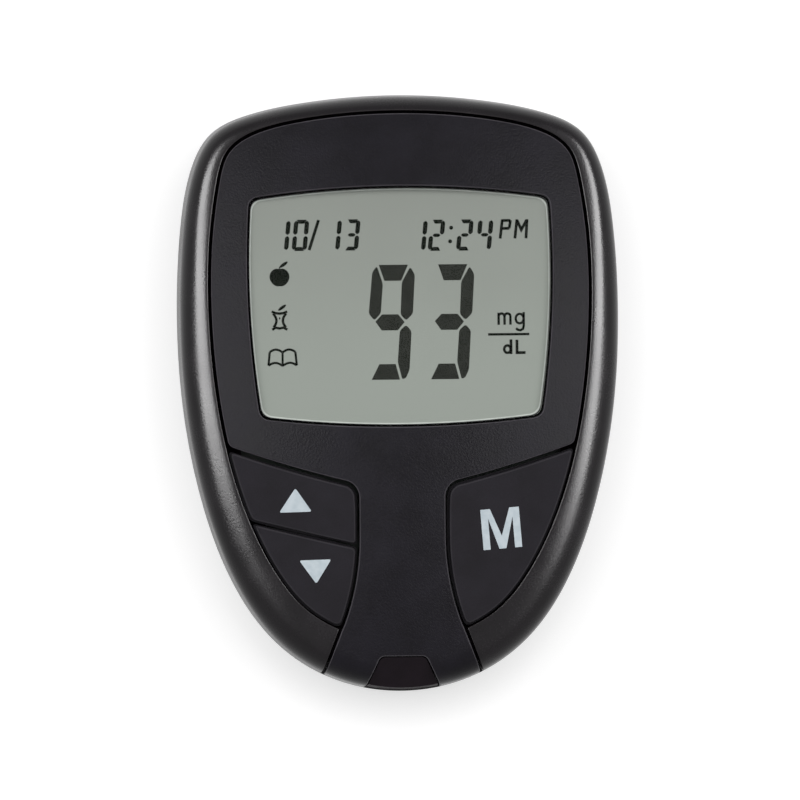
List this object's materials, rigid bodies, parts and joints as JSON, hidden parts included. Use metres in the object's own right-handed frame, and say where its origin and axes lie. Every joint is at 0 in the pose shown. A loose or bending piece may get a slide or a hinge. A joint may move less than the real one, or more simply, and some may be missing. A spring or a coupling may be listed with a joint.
{
  "type": "blood glucose meter",
  "caption": "Handheld blood glucose meter: rounded tapering case, display window, up and down keys, memory key, strip port, sliding battery door.",
  "frame": {"origin": "on the flat of the back, under the middle of the case's outer box", "axes": "+X to the right seen from the front, +Y towards the display end, +Z out of the display"},
  "size_m": [0.057, 0.0771, 0.019],
  "materials": {
    "case_black": "fine matt moulded black, slightly warm",
    "panel_black": "fine matt moulded black of the face plate",
    "key_black": "satin black key cap with pale printed sign",
    "lens_clear": "clear hard-coated acrylic",
    "lcd_glass": "grey-green reflective liquid crystal display",
    "holder_white": "plain white moulded plastic",
    "elastomer": "layered silicone contact strip",
    "board_green": "green solder mask over glass fibre",
    "chip_black": "moulded epoxy",
    "can_steel": "drawn and polished can",
    "sounder_brass": "thin brass disc with ceramic top",
    "contact_gold": "gold-plated spring sheet",
    "dome_steel": "stainless snap dome",
    "connector_black": "heat-proof moulded plastic",
    "cell_steel": "nickel-plated cell can",
    "spring_steel": "nickel-plated spring sheet",
    "tab_black": "thin flexible film",
    "screw_steel": "black zinc-plated steel"
  },
  "bodies": {
    "case": {"rim_frame": "case_black", "front_panel": "panel_black", "strip_port": "panel_black", "window_lens": "lens_clear", "lcd_front_glass": "lcd_glass", "lcd_rear_glass": "lcd_glass", "lcd_holder": "holder_white", "contact_strip_upper": "elastomer", "contact_strip_lower": "elastomer", "circuit_board": "board_green", "processor_chip": "chip_black", "crystal": "can_steel", "sounder": "sounder_brass", "strip_connector": "connector_black", "strip_contacts": "contact_gold", "data_jack": "connector_black", "dome_up": "dome_steel", "dome_down": "dome_steel", "dome_memory": "dome_steel", "back_cover": "case_black", "coin_cell_right": "cell_steel", "coin_cell_left": "cell_steel", "contact_negative": "spring_steel", "contact_positive": "spring_steel", "battery_tab": "tab_black", "case_screws": "screw_steel"},
    "up_key": {"key_up": "key_black"},
    "down_key": {"key_down": "key_black"},
    "memory_key": {"key_memory": "key_black"},
    "door": {"battery_door": "case_black"}
  },
  "joints": [
    {"name": "up_key_press", "type": "slide", "parent": "case", "child": "up_key", "axis": [0, 0, -1], "range_m": [0, 0.0004], "stiffness_N_per_m": 2500, "deforming": ["dome_up"]},
    {"name": "down_key_press", "type": "slide", "parent": "case", "child": "down_key", "axis": [0, 0, -1], "range_m": [0, 0.0004], "stiffness_N_per_m": 2500, "deforming": ["dome_down"]},
    {"name": "memory_key_press", "type": "slide", "parent": "case", "child": "memory_key", "axis": [0, 0, -1], "range_m": [0, 0.0004], "stiffness_N_per_m": 2500, "deforming": ["dome_memory"]},
    {"name": "door_slide", "type": "slide", "parent": "case", "child": "door", "axis": [0, 1, 0], "range_m": [0, 0.008]}
  ]
}
